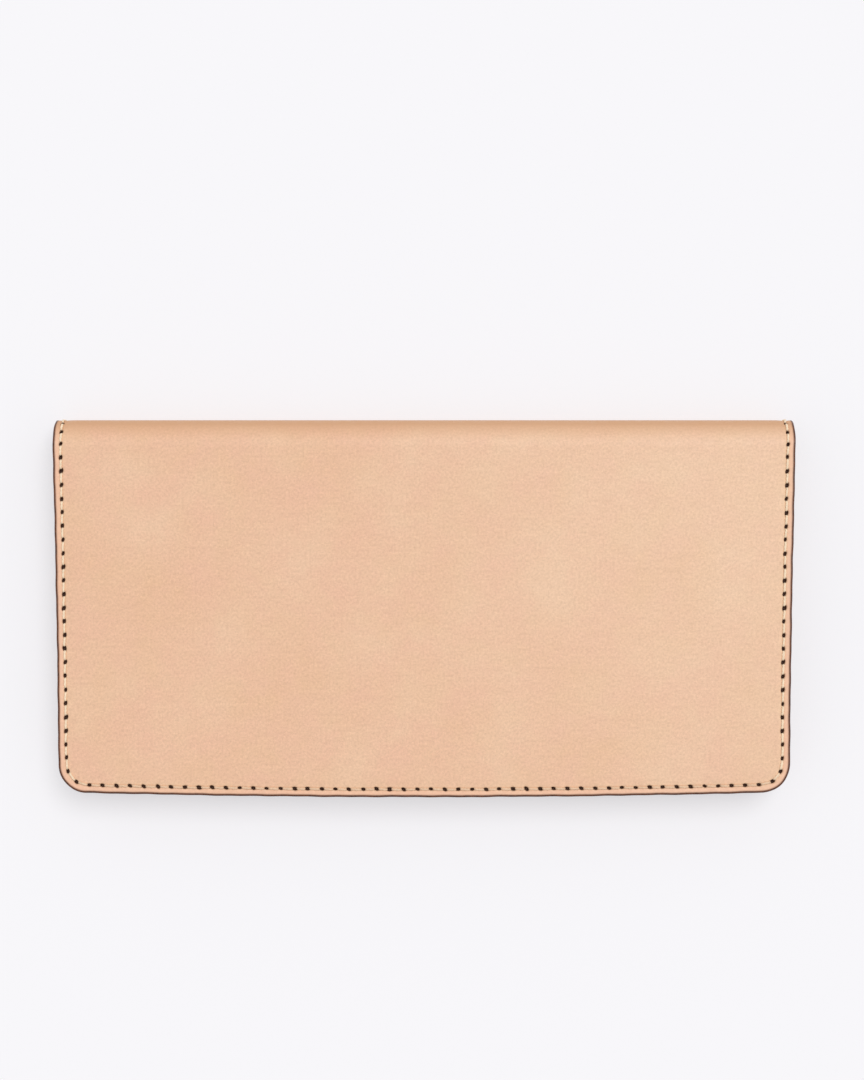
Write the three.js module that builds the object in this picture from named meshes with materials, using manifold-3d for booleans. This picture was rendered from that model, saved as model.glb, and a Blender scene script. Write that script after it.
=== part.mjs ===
// A long bifold wallet of undyed vegetable-tanned leather, closed and lying on its back cover.
// X runs along the fold, +Y points to the fold and +Z up. All sizes are in millimetres.
// The back half holds a banknote compartment and a zipped coin pocket. The front half holds a long
// slip pocket and six card pockets. A round spine joins the halves.

import * as THREE from "three";
import { mergeVertices } from "three/addons/utils/BufferGeometryUtils.js";
import Module from "manifold-3d";

// Outside
const THICKNESS = 14.2;
const FOLD_RADIUS = THICKNESS / 2;
const HEIGHT = 96.7;
const FOLD_Y = HEIGHT / 2;
const OPEN_Y = -HEIGHT / 2;
const SPINE_Y = FOLD_Y - FOLD_RADIUS;
const FOLD_HALF_WIDTH = 95;
const OPEN_HALF_WIDTH = 93.5;
const TAPER_POWER = 1.6;
const CORNER_RADIUS = 7.5;
const BOTTOM_BOW = 1.1;
const SPINE_GAP = 0.5;

// Leather and thread
const COVER = 1.5;
const LINING = 0.8;
const POCKET = 0.7;
const LAYER_GAP = 0.1;
const SEAM_INSET = 1.6;
const GROOVE_WIDTH = 1.0;
const GROOVE_DEPTH = 0.5;
const THREAD_CLEARANCE = 0.1;

// Pocket mouths and card pocket depth
const SLIP_MOUTH_Y = 31;
const CARD_MOUTHS_Y = { top: 24, middle: 11, front: -2 };
const CARD_POCKET_DEPTH = 45;
const CENTRE_GAP = 0.4;
const CENTRE_THREAD_WIDTH = 0.8;
const CENTRE_THREAD_HEIGHT = 0.15;

// Coin pocket
const COIN_MOUTH_Y = 32;
const COIN_FRONT_Z = 5.3;
const WINDOW_HALF_LENGTH = 74;
const WINDOW_HALF_WIDTH = 4.2;

// Zip
const ZIP_Y = 18;
const ZIP_Z = 5;
const TAPE_THICKNESS = 0.4;
const TAPE_HALF_LENGTH = 82;
const TAPE_INNER = 2.2;
const TAPE_OUTER = 8.5;
const TEETH_HALF_LENGTH = 68;
const TEETH_THICKNESS = 1.6;
const TOOTH_PITCH = 2;
const TOOTH_TIP = 0.5;
const TOOTH_ROOT = 1.5;
const TEETH_OUTER = 2.1;
const STOP_LENGTH = 2;
const STOP_GAP = 0.3;

// Slider, with its middle at SLIDER_X while the zip is shut
const SLIDER_X = 62;
const SLIDER_LENGTH = 8.5;
const SLIDER_WIDTH = 6.4;
const SLIDER_HEIGHT = 3.4;
const CHANNEL_HALF_WIDTH = 2.35;
const CHANNEL_HEIGHT = 1.9;
const TAPE_SLOT = 0.8;
const POST_LENGTH = 2.5;
const POST_WIDTH = 0.5;
const CROWN_HALF_LENGTH = 2.6;
const CROWN_HALF_OPENING = 1.3;
const CROWN_WIDTH = 1.2;
const CROWN_OPENING_Z = 7.5;
const CROWN_TOP_Z = 8;

// Pull
const LINK_BAR = 0.8;
const LINK_LENGTH = 8.9;
const LINK_WIDTH = 5;
const LINK_Z = 6.8;
const LINK_THICKNESS = 0.6;
const LINK_SLACK = 0.3;
const TAB_NECK_WIDTH = 3;
const TAB_NECK_Z = 6.2;
const TAB_WIDTH = 6.4;
const TAB_LENGTH = 18.6;
const TAB_Z = 6.5;
const TAB_THICKNESS = 1.2;

const wasm = await Module();
wasm.setup();

const wallet = new THREE.Group();

function leather(color, roughness = 0.62) {
  return new THREE.MeshStandardMaterial({ color, roughness, metalness: 0 });
}

const materials = {
  cover: () => leather(0xebc2a5, 0.55),
  lining: () => leather(0xdcb08c),
  pocket: () => leather(0xe4ba98),
  thread: () => leather(0xeee0c6, 0.8),
  tape: () => leather(0xb58a62, 0.9),
  brass: () => new THREE.MeshStandardMaterial({ color: 0xc9a35a, roughness: 0.3, metalness: 1 }),
};

function addPiece(name, material, geometry) {
  const mesh = new THREE.Mesh(geometry, materials[material]());
  mesh.name = name;
  wallet.add(mesh);
}

// Booleans

function toSolid(geometry) {
  const bare = geometry.index ? geometry.toNonIndexed() : geometry.clone();
  bare.deleteAttribute("normal");
  bare.deleteAttribute("uv");
  const merged = mergeVertices(bare, 1e-4);
  const vertProperties = merged.attributes.position.array;
  const triVerts = new Uint32Array(merged.index.array);
  return new wasm.Manifold(new wasm.Mesh({ numProp: 3, vertProperties, triVerts }));
}

function toGeometry(solid) {
  const mesh = solid.getMesh();
  const geometry = new THREE.BufferGeometry();
  geometry.setAttribute("position", new THREE.BufferAttribute(mesh.vertProperties, 3));
  geometry.setIndex(new THREE.BufferAttribute(mesh.triVerts, 1));
  geometry.computeVertexNormals();
  return geometry;
}

function cut(geometry, ...cutters) {
  const start = toSolid(geometry);
  return toGeometry(cutters.reduce((solid, cutter) => solid.subtract(toSolid(cutter)), start));
}

function join(...geometries) {
  return toGeometry(geometries.map(toSolid).reduce((a, b) => a.add(b)));
}

// Basic shapes

function slab(shape, z, thickness, curveSegments = 12) {
  const settings = { depth: thickness, bevelEnabled: false, curveSegments };
  return new THREE.ExtrudeGeometry(shape, settings).translate(0, 0, z);
}

function block(x0, x1, y0, y1, z0, z1) {
  const box = new THREE.BoxGeometry(x1 - x0, y1 - y0, z1 - z0);
  return box.translate((x0 + x1) / 2, (y0 + y1) / 2, (z0 + z1) / 2);
}

// A profile drawn in (Y, Z) and drawn out along X from x0 to x1.
function alongX(shape, x0, x1, curveSegments = 24) {
  const settings = { depth: x1 - x0, bevelEnabled: false, curveSegments };
  const turn = new THREE.Matrix4().makeBasis(
    new THREE.Vector3(0, 1, 0),
    new THREE.Vector3(0, 0, 1),
    new THREE.Vector3(1, 0, 0),
  );
  return new THREE.ExtrudeGeometry(shape, settings).applyMatrix4(turn).translate(x0, 0, 0);
}

function roundedBar(x0, x1, y0, y1, radius) {
  const shape = new THREE.Shape();
  shape.absarc(x1 - radius, y1 - radius, radius, 0, Math.PI / 2);
  shape.absarc(x0 + radius, y1 - radius, radius, Math.PI / 2, Math.PI);
  shape.absarc(x0 + radius, y0 + radius, radius, Math.PI, 1.5 * Math.PI);
  shape.absarc(x1 - radius, y0 + radius, radius, 1.5 * Math.PI, 2 * Math.PI);
  return shape;
}

// The wallet's outline: it narrows a little from the fold to the open edge, which bows outwards.

function halfWidth(y) {
  const share = THREE.MathUtils.clamp((SPINE_Y - y) / (SPINE_Y - OPEN_Y), 0, 1);
  return OPEN_HALF_WIDTH + (FOLD_HALF_WIDTH - OPEN_HALF_WIDTH) * (1 - share) ** TAPER_POWER;
}

// Points down the left side from topY, along the open edge and up the right side, moved inwards.
function outlinePoints(topY, inset = 0) {
  const cornerY = OPEN_Y + BOTTOM_BOW + CORNER_RADIUS;
  const cornerX = halfWidth(cornerY) - CORNER_RADIUS;
  const path = new THREE.Path();
  const sideSteps = 8;
  path.moveTo(-halfWidth(topY), topY);
  for (let i = 1; i <= sideSteps; i++) {
    const y = THREE.MathUtils.lerp(topY, cornerY, i / sideSteps);
    path.lineTo(-halfWidth(y), y);
  }
  path.absarc(-cornerX, cornerY, CORNER_RADIUS, Math.PI, 1.5 * Math.PI);
  path.quadraticCurveTo(0, OPEN_Y - BOTTOM_BOW, cornerX, cornerY - CORNER_RADIUS);
  path.absarc(cornerX, cornerY, CORNER_RADIUS, -Math.PI / 2, 0);
  for (let i = sideSteps - 1; i >= 0; i--) {
    const y = THREE.MathUtils.lerp(topY, cornerY, i / sideSteps);
    path.lineTo(halfWidth(y), y);
  }
  const points = path.getPoints(8).filter((p, i, all) => i === 0 || p.distanceTo(all[i - 1]) > 1e-3);
  return points.map((point, i) => {
    const before = points[Math.max(i - 1, 0)];
    const after = points[Math.min(i + 1, points.length - 1)];
    const along = after.clone().sub(before).normalize();
    return new THREE.Vector2(point.x - along.y * inset, point.y + along.x * inset);
  });
}

function panelShape(topY) {
  return new THREE.Shape(outlinePoints(topY));
}

// A narrow band that follows the outline between two insets.
function bandShape(topY, outerInset, innerInset) {
  const inner = outlinePoints(topY, innerInset).reverse();
  return new THREE.Shape([...outlinePoints(topY, outerInset), ...inner]);
}

const threadOuter = SEAM_INSET + THREAD_CLEARANCE;
const threadInner = SEAM_INSET + GROOVE_WIDTH - THREAD_CLEARANCE;
const flatTopY = SPINE_Y - SPINE_GAP;

// The outer leather of one half, with the seam's groove in its outer face at grooveZ.
function cover(z, grooveZ) {
  const groove = bandShape(SPINE_Y + 1, SEAM_INSET, SEAM_INSET + GROOVE_WIDTH);
  return cut(slab(panelShape(flatTopY), z, COVER), slab(groove, grooveZ - GROOVE_DEPTH, 2 * GROOVE_DEPTH));
}

function seamThread(z) {
  return slab(bandShape(flatTopY, threadOuter, threadInner), z, GROOVE_DEPTH - 2 * THREAD_CLEARANCE);
}

function backHalf() {
  addPiece("back_cover", "cover", cover(0, 0));
  addPiece("back_seam_thread", "thread", seamThread(THREAD_CLEARANCE));
  const liningZ = COVER + LAYER_GAP;
  addPiece("back_lining", "lining", slab(panelShape(flatTopY), liningZ, LINING));
  const coinBackZ = liningZ + LINING + LAYER_GAP;
  addPiece("coin_pocket_back", "pocket", slab(panelShape(COIN_MOUTH_Y), coinBackZ, POCKET));
  const front = panelShape(COIN_MOUTH_Y);
  const window = roundedBar(
    -WINDOW_HALF_LENGTH,
    WINDOW_HALF_LENGTH,
    ZIP_Y - WINDOW_HALF_WIDTH,
    ZIP_Y + WINDOW_HALF_WIDTH,
    2,
  );
  front.holes.push(window);
  addPiece("coin_pocket_front", "pocket", slab(front, COIN_FRONT_Z, POCKET));
}

// One row of zip teeth on its cord, side -1 below the zip's middle line and +1 above it.
function teethRow(side) {
  const shift = side > 0 ? 0 : TOOTH_PITCH / 2;
  const points = [new THREE.Vector2(TEETH_HALF_LENGTH, TEETH_OUTER)];
  points.push(new THREE.Vector2(-TEETH_HALF_LENGTH, TEETH_OUTER));
  points.push(new THREE.Vector2(-TEETH_HALF_LENGTH, TOOTH_ROOT));
  for (let x = -TEETH_HALF_LENGTH + shift + 0.5; x < TEETH_HALF_LENGTH - 1; x += TOOTH_PITCH) {
    points.push(new THREE.Vector2(x, TOOTH_ROOT));
    points.push(new THREE.Vector2(x, TOOTH_TIP));
    points.push(new THREE.Vector2(x + TOOTH_PITCH / 2, TOOTH_TIP));
    points.push(new THREE.Vector2(x + TOOTH_PITCH / 2, TOOTH_ROOT));
  }
  points.push(new THREE.Vector2(TEETH_HALF_LENGTH, TOOTH_ROOT));
  const placed = points.map((p) => new THREE.Vector2(p.x, ZIP_Y + side * p.y));
  return slab(new THREE.Shape(placed), ZIP_Z - TEETH_THICKNESS / 2, TEETH_THICKNESS);
}

function zip() {
  const tapeZ = ZIP_Z - TAPE_THICKNESS / 2;
  const stopZ = [ZIP_Z - TEETH_THICKNESS / 2, ZIP_Z + TEETH_THICKNESS / 2];
  const stopX = TEETH_HALF_LENGTH + STOP_GAP;
  for (const [name, side] of [["lower", -1], ["upper", 1]]) {
    const edges = [ZIP_Y + side * TAPE_INNER, ZIP_Y + side * TAPE_OUTER].sort((a, b) => a - b);
    const tape = block(-TAPE_HALF_LENGTH, TAPE_HALF_LENGTH, ...edges, tapeZ, tapeZ + TAPE_THICKNESS);
    addPiece("zip_tape_" + name, "tape", tape);
    addPiece("zip_teeth_" + name, "brass", teethRow(side));
    const stopEdges = [ZIP_Y + side * TOOTH_TIP, ZIP_Y + side * TEETH_OUTER].sort((a, b) => a - b);
    addPiece("zip_top_stop_" + name, "brass", block(stopX, stopX + STOP_LENGTH, ...stopEdges, ...stopZ));
  }
  const across = [ZIP_Y - TEETH_OUTER, ZIP_Y + TEETH_OUTER];
  addPiece("zip_bottom_stop", "brass", block(-stopX - STOP_LENGTH, -stopX, ...across, ...stopZ));
}

function zipSlider() {
  const low = ZIP_Z - SLIDER_HEIGHT / 2;
  const high = ZIP_Z + SLIDER_HEIGHT / 2;
  const x0 = SLIDER_X - SLIDER_LENGTH / 2;
  const x1 = SLIDER_X + SLIDER_LENGTH / 2;
  const y0 = ZIP_Y - SLIDER_WIDTH / 2;
  const y1 = ZIP_Y + SLIDER_WIDTH / 2;
  const channelZ = [ZIP_Z - CHANNEL_HEIGHT / 2, ZIP_Z + CHANNEL_HEIGHT / 2];
  const channelY = [ZIP_Y - CHANNEL_HALF_WIDTH, ZIP_Y + CHANNEL_HALF_WIDTH];
  const slotZ = [ZIP_Z - TAPE_SLOT / 2, ZIP_Z + TAPE_SLOT / 2];
  const shell = cut(
    slab(roundedBar(x0, x1, y0, y1, 1.4), low, SLIDER_HEIGHT, 6),
    block(x0 - 1, x1 + 1, ...channelY, ...channelZ),
    block(x0 - 1, x1 + 1, y0 - 1, y1 + 1, ...slotZ),
  );
  const postY = [ZIP_Y - POST_WIDTH / 2, ZIP_Y + POST_WIDTH / 2];
  const post = block(x1 - POST_LENGTH - 0.5, x1 - 0.5, ...postY, low + 0.1, high - 0.1);
  const crownY = [ZIP_Y - CROWN_WIDTH / 2, ZIP_Y + CROWN_WIDTH / 2];
  const crown = cut(
    block(SLIDER_X - CROWN_HALF_LENGTH, SLIDER_X + CROWN_HALF_LENGTH, ...crownY, high - 0.2, CROWN_TOP_Z),
    block(
      SLIDER_X - CROWN_HALF_OPENING,
      SLIDER_X + CROWN_HALF_OPENING,
      crownY[0] - 1,
      crownY[1] + 1,
      high,
      CROWN_OPENING_Z,
    ),
  );
  addPiece("zip_slider", "brass", join(shell, post, crown));
}

function zipPull() {
  const barX = SLIDER_X + LINK_BAR / 2;
  const farX = barX - LINK_LENGTH;
  const half = LINK_WIDTH / 2;
  const loop = roundedBar(farX, barX, ZIP_Y - half, ZIP_Y + half, 1);
  const opening = [farX + LINK_BAR, barX - LINK_BAR, ZIP_Y - half + LINK_BAR, ZIP_Y + half - LINK_BAR];
  loop.holes.push(roundedBar(...opening, 0.3));
  addPiece("zip_pull_link", "brass", slab(loop, LINK_Z, LINK_THICKNESS, 4));

  const neckHalf = TAB_NECK_WIDTH / 2;
  const neckX = [farX - 0.9 - 0.5, farX + LINK_BAR + LINK_SLACK + 0.8];
  const neckZ = [TAB_NECK_Z, CROWN_TOP_Z];
  const bodyX = farX - 0.9;
  const strip = roundedBar(bodyX - TAB_LENGTH, bodyX, ZIP_Y - TAB_WIDTH / 2, ZIP_Y + TAB_WIDTH / 2, 1.2);
  const slot = block(
    farX - LINK_SLACK,
    farX + LINK_BAR + LINK_SLACK,
    ZIP_Y - TAB_WIDTH,
    ZIP_Y + TAB_WIDTH,
    LINK_Z - LINK_SLACK,
    LINK_Z + LINK_THICKNESS + LINK_SLACK,
  );
  const body = join(
    slab(strip, TAB_Z, TAB_THICKNESS, 6),
    block(...neckX, ZIP_Y - neckHalf, ZIP_Y + neckHalf, ...neckZ),
  );
  addPiece("zip_pull_tab", "pocket", cut(body, slot));
}

// A half ring round the fold's axis, between two radii.
function halfRing(outer, inner) {
  const shape = new THREE.Shape();
  shape.absarc(SPINE_Y, FOLD_RADIUS, outer, -Math.PI / 2, Math.PI / 2, false);
  shape.absarc(SPINE_Y, FOLD_RADIUS, inner, Math.PI / 2, -Math.PI / 2, true);
  return shape;
}

function spine() {
  const half = FOLD_HALF_WIDTH;
  const grooveRing = halfRing(FOLD_RADIUS + 1, FOLD_RADIUS - GROOVE_DEPTH);
  const seams = { left: -half + SEAM_INSET, right: half - SEAM_INSET - GROOVE_WIDTH };
  const grooves = Object.values(seams).map((x) => alongX(grooveRing, x, x + GROOVE_WIDTH));
  const outer = alongX(halfRing(FOLD_RADIUS, FOLD_RADIUS - COVER), -half, half);
  addPiece("spine_cover", "cover", cut(outer, ...grooves));
  const liningRadius = FOLD_RADIUS - COVER - LAYER_GAP;
  addPiece("spine_lining", "lining", alongX(halfRing(liningRadius, liningRadius - LINING), -half, half));
  const threadRing = halfRing(
    FOLD_RADIUS - THREAD_CLEARANCE,
    FOLD_RADIUS - GROOVE_DEPTH + THREAD_CLEARANCE,
  );
  for (const [side, x] of Object.entries(seams)) {
    const thread = alongX(threadRing, x + THREAD_CLEARANCE, x + GROOVE_WIDTH - THREAD_CLEARANCE);
    addPiece("spine_thread_" + side, "thread", thread);
  }
}

// A card pocket panel on one side of the centre line, from lowY up to its mouth.
function cardPanel(side, lowY, mouthY, z) {
  const corners = [
    [CENTRE_GAP / 2, lowY],
    [halfWidth(lowY), lowY],
    [halfWidth((lowY + mouthY) / 2), (lowY + mouthY) / 2],
    [halfWidth(mouthY), mouthY],
    [CENTRE_GAP / 2, mouthY],
  ];
  const shape = new THREE.Shape(corners.map(([x, y]) => new THREE.Vector2(side * x, y)));
  return slab(shape, z, POCKET);
}

function frontHalf() {
  const coverZ = THICKNESS - COVER;
  addPiece("front_cover", "cover", cover(coverZ, THICKNESS));
  addPiece("front_seam_thread", "thread", seamThread(THICKNESS - GROOVE_DEPTH + THREAD_CLEARANCE));
  const liningZ = coverZ - LAYER_GAP - LINING;
  addPiece("front_lining", "lining", slab(panelShape(flatTopY), liningZ, LINING));
  const slipZ = liningZ - LAYER_GAP - POCKET;
  addPiece("slip_pocket", "pocket", slab(panelShape(SLIP_MOUTH_Y), slipZ, POCKET));
  let z = slipZ;
  for (const row of ["top", "middle"]) {
    z -= LAYER_GAP + POCKET;
    const mouthY = CARD_MOUTHS_Y[row];
    const lowY = mouthY - CARD_POCKET_DEPTH;
    addPiece("card_pocket_" + row + "_left", "pocket", cardPanel(-1, lowY, mouthY, z));
    addPiece("card_pocket_" + row + "_right", "pocket", cardPanel(1, lowY, mouthY, z));
  }
  z -= LAYER_GAP + POCKET;
  addPiece("card_pocket_front", "pocket", slab(panelShape(CARD_MOUTHS_Y.front), z, POCKET));
  const threadHalf = CENTRE_THREAD_WIDTH / 2;
  const threadZ = z - LAYER_GAP / 2 - CENTRE_THREAD_HEIGHT;
  const thread = block(
    -threadHalf,
    threadHalf,
    OPEN_Y + 3,
    CARD_MOUTHS_Y.front,
    threadZ,
    threadZ + CENTRE_THREAD_HEIGHT,
  );
  addPiece("centre_thread", "thread", thread);
}

backHalf();
zip();
zipSlider();
zipPull();
spine();
frontHalf();

export default wallet;
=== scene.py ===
"""Looks for the long wallet: natural leather, hand stitching, pockets and a brass zip."""

import math

import bmesh
import bpy
import numpy as np
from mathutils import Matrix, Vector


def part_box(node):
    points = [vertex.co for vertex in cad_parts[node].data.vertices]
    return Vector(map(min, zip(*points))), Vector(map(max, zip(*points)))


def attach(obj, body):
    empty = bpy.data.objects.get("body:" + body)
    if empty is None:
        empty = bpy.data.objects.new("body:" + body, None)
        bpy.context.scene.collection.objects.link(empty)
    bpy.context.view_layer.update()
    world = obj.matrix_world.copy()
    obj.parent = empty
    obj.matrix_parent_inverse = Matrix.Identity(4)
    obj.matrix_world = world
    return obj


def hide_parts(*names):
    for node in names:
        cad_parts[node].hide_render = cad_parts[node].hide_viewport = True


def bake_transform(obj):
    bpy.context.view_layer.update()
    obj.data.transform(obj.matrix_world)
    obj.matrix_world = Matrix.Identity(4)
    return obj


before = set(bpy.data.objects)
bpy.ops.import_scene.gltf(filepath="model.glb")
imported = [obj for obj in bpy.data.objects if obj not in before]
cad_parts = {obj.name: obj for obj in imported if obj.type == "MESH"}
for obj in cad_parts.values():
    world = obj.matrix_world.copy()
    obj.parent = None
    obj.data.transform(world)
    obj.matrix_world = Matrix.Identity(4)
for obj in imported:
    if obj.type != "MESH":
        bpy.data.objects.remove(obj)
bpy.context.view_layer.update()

MM = 0.001
RANDOM = np.random.default_rng(7)


def box_mm(node):
    low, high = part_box(node)
    return np.array(low) / MM, np.array(high) / MM


COVER_LOW, COVER_HIGH = box_mm("front_cover")
SPINE_LOW, SPINE_HIGH = box_mm("spine_cover")
LINING_LOW, LINING_HIGH = box_mm("back_lining")

# The closed wallet, in millimetres
THICKNESS = SPINE_HIGH[2]
RADIUS = THICKNESS / 2
SPINE_Y = SPINE_LOW[1]
HALF_WIDTH = SPINE_HIGH[0]
OPEN_Y = COVER_LOW[1]
OPEN_HALF_WIDTH = 93.5
TAPER_POWER = 1.6
CORNER_RADIUS = 7.5
BOTTOM_BOW = 1.1
COVER = COVER_HIGH[2] - COVER_LOW[2]
SHEET_END = SPINE_Y + RADIUS * math.pi / 2  # where a half's sheet ends, at the middle of the spine

# The seam
SEAM_INSET = 2.05
STITCH_PITCH = 3.49
THREAD_RADIUS = 0.3
FINE_STEP = 0.17
COARSE_STEP = 0.3
EDGE_RADIUS = 0.45
BAND_WIDTH = 6.2
FINE_INSETS = [
    0.62, 0.85, 1.1, 1.3, 1.45, 1.57, 1.68, 1.78, 1.87, 1.96, 2.05, 2.14, 2.23, 2.32, 2.42,
    2.53, 2.65, 2.8, 3.05, 3.4, 4.0, 5.0, BAND_WIDTH,
]
COARSE_INSETS = [2.5, BAND_WIDTH]
HOLE_LENGTH = 0.64
HOLE_WIDTH = 0.42
PIT_DEPTH = 0.7
LEATHER_BELOW_PIT = 0.5
PAINTED_SHEEN_PLACE = (88, 22, 0)  # the middle of a painted sheen, a paler colour that stands in for the lamp's soft reflection, on the front near the fold's right end


# The sheets' flat shape


def half_width(y):
    share = np.clip((SPINE_Y - y) / (SPINE_Y - OPEN_Y), 0, 1)
    return OPEN_HALF_WIDTH + (HALF_WIDTH - OPEN_HALF_WIDTH) * (1 - share) ** TAPER_POWER


def arc(centre_x, centre_y, radius, start, end, count=60):
    a = np.linspace(start, end, count)
    return np.stack([centre_x + radius * np.cos(a), centre_y + radius * np.sin(a)], 1)


def wallet_outline(top):
    """Down the left side from top, along the bowed open edge and up the right side."""
    corner_y = OPEN_Y + BOTTOM_BOW + CORNER_RADIUS
    corner_x = float(half_width(corner_y)) - CORNER_RADIUS
    y = np.linspace(top, corner_y, 300)
    left = np.stack([-half_width(y), y], 1)
    t = np.linspace(0, 1, 200)[:, None]
    start = np.array([-corner_x, corner_y - CORNER_RADIUS])
    middle = np.array([0, OPEN_Y - BOTTOM_BOW])
    end = start * [-1, 1]
    bottom = (1 - t) ** 2 * start + 2 * t * (1 - t) * middle + t**2 * end
    left_corner = arc(-corner_x, corner_y, CORNER_RADIUS, math.pi, 1.5 * math.pi)
    right_corner = arc(corner_x, corner_y, CORNER_RADIUS, -0.5 * math.pi, 0)
    return np.concatenate([left, left_corner, bottom, right_corner, left[::-1] * [-1, 1]])


def card_outline(side, low, top):
    """One card pocket: down its outer side, along its foot and up the centre line."""
    centre, radius = 0.2, 3.0
    y = np.linspace(top, low + radius, 80)
    outer = np.stack([-half_width(y), y], 1)
    foot_x = -float(half_width(low + radius))
    corner = arc(foot_x + radius, low + radius, radius, math.pi, 1.5 * math.pi, 20)
    corner2 = arc(-centre - radius, low + radius, radius, -0.5 * math.pi, 0, 20)
    inner = np.array([[-centre, low + radius], [-centre, top]])
    line = np.concatenate([outer, corner, corner2, inner])
    return line if side < 0 else line[::-1] * [-1, 1]


def points_at(x, y, z):
    """Points from their coordinates, any of which may be one number for all."""
    return np.column_stack(np.broadcast_arrays(x, y, z))


def lengths_along(points):
    steps = np.linalg.norm(np.diff(points, axis=0), axis=1)
    return np.concatenate([[0], np.cumsum(steps)])


def evenly(points, step, extra=()):
    """Points step apart on a line, and more at the distances in extra from each end. Also the normals
    to its left."""
    keep = np.concatenate([[True], np.linalg.norm(np.diff(points, axis=0), axis=1) > 1e-6])
    points = points[keep]
    along = lengths_along(points)
    total = along[-1]
    places = np.linspace(0, total, max(2, round(total / step)) + 1)
    places = np.unique(np.round(np.concatenate([places, extra, [total - e for e in extra]]), 5))
    places[-1] = total
    found = np.stack([np.interp(places, along, points[:, i]) for i in (0, 1)], 1)
    nearby = 0.02
    before = np.stack([np.interp(places - nearby, along, points[:, i]) for i in (0, 1)], 1)
    after = np.stack([np.interp(places + nearby, along, points[:, i]) for i in (0, 1)], 1)
    tangent = after - before
    tangent /= np.linalg.norm(tangent, axis=1)[:, None]
    return found, np.stack([-tangent[:, 1], tangent[:, 0]], 1)


def to_space(side, flat):
    """Places points (x, s, depth) of a half's sheet, which lies flat and then goes round the spine. s runs
    along it, and depth inwards from its outer face."""
    x, s, depth = flat[:, 0], flat[:, 1], flat[:, 2]
    turn = np.clip(s - SPINE_Y, 0, None) / RADIUS
    y = np.where(turn > 0, SPINE_Y + (RADIUS - depth) * np.sin(turn), s)
    z = np.where(turn > 0, RADIUS - (RADIUS - depth) * np.cos(turn), depth)
    return np.stack([x, y, THICKNESS - z if side == "front" else z], 1)


# The holes of the seam


def make_holes():
    """Each hole's place, direction along the seam, slant and size. They are evenly spaced but for a hand's
    small errors."""
    line, normal = evenly(wallet_outline(SHEET_END), 0.05)
    seam = line + normal * SEAM_INSET
    along = lengths_along(seam)
    count = round(along[-1] / STITCH_PITCH)
    places = np.linspace(0, along[-1], count + 1)
    jitter = RANDOM.normal(0, 0.09, count + 1)
    jitter[[0, -1]] = 0
    places = np.clip(places + jitter, 0, along[-1])
    centre = np.stack([np.interp(places, along, seam[:, i]) for i in (0, 1)], 1)
    across = np.stack([np.interp(places, along, normal[:, i]) for i in (0, 1)], 1)
    across /= np.linalg.norm(across, axis=1)[:, None]
    offset = RANDOM.normal(0, 0.05, count + 1)
    offset[[0, -1]] = 0
    return {
        "centre": centre + across * offset[:, None],
        "along": np.stack([across[:, 1], -across[:, 0]], 1),
        "across": across,
        "slant": np.radians(RANDOM.normal(-14, 12, count + 1)),
        "size": RANDOM.normal(1, 0.1, count + 1),
    }


HOLES = make_holes()


def hole_shape(points):
    """How deep in the nearest hole each flat point is, how near that hole, and if it is on the seam."""
    nearest = np.empty(len(points), int)
    for start in range(0, len(points), 20000):
        part = points[start : start + 20000]
        away = part[:, None, :] - HOLES["centre"][None]
        nearest[start : start + 20000] = np.argmin((away**2).sum(-1), axis=1)
    away = points - HOLES["centre"][nearest]
    a = (away * HOLES["along"][nearest]).sum(1)
    e = (away * HOLES["across"][nearest]).sum(1)
    slant, size = HOLES["slant"][nearest], HOLES["size"][nearest]
    long_way = (a * np.cos(slant) + e * np.sin(slant)) / (HOLE_LENGTH * size)
    short_way = (-a * np.sin(slant) + e * np.cos(slant)) / (HOLE_WIDTH * size)
    inside = np.exp(-((long_way**2 + short_way**2) ** 1.7))
    distance = np.hypot(a, e)
    return inside, np.exp(-(distance**2) / 0.9), np.clip(4 - distance, 0, 1)


def waviness(side, x, s):
    """The gentle unevenness of a thick hide, in millimetres. It fades where the halves' sheets meet."""
    wave = 0.05 * np.sin(x / 17 + 0.6) * np.cos(s / 21)
    wave += 0.04 * np.sin(x / 31 - s / 13 + 2)
    wave += 0.03 * np.cos(x / 9 + s / 27)
    wave *= np.clip((SHEET_END - s) / 9, 0, 1)
    return wave if side == "front" else 0.6 * np.abs(wave)


# Meshes


def rounded_section(outer, inner, outer_insets, inner_insets):
    """(inset, depth) pairs from the inner face, round the cut edge, to the outer face."""
    radius = min(EDGE_RADIUS, 0.45 * (inner - outer))
    angles = np.radians([0, 22, 45, 68, 90])
    insets = radius * (1 - np.cos(angles))
    drops = radius * (1 - np.sin(angles))
    section = [(i, inner) for i in reversed(inner_insets)]
    section += [(i, inner - d) for i, d in zip(insets[::-1], drops[::-1])]
    section += [(i, outer + d) for i, d in zip(insets, drops)]
    section += [(i, outer) for i in outer_insets]
    return section


def cut_interior(bm, faces, axis, places):
    """Cuts the given faces along lines of one coordinate, and returns them all."""
    for place in places:
        geometry = list(faces) + list({e for f in faces for e in f.edges})
        geometry += list({v for f in faces for v in f.verts})
        point, normal = [0, 0, 0], [0, 0, 0]
        point[axis], normal[axis] = place, 1
        before = set(faces)
        result = bmesh.ops.bisect_plane(bm, geom=geometry, dist=1e-5, plane_co=point, plane_no=normal)
        faces = before | {g for g in result["geom"] if isinstance(g, bmesh.types.BMFace)}
        faces = {f for f in faces if f.is_valid}
    return faces


def set_attribute(mesh, name, values):
    kind, field = ("FLOAT_VECTOR", "vector") if values.ndim == 2 else ("FLOAT", "value")
    attribute = mesh.attributes.new(name, kind, "POINT")
    attribute.data.foreach_set(field, values.astype(np.float32).ravel())


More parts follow.
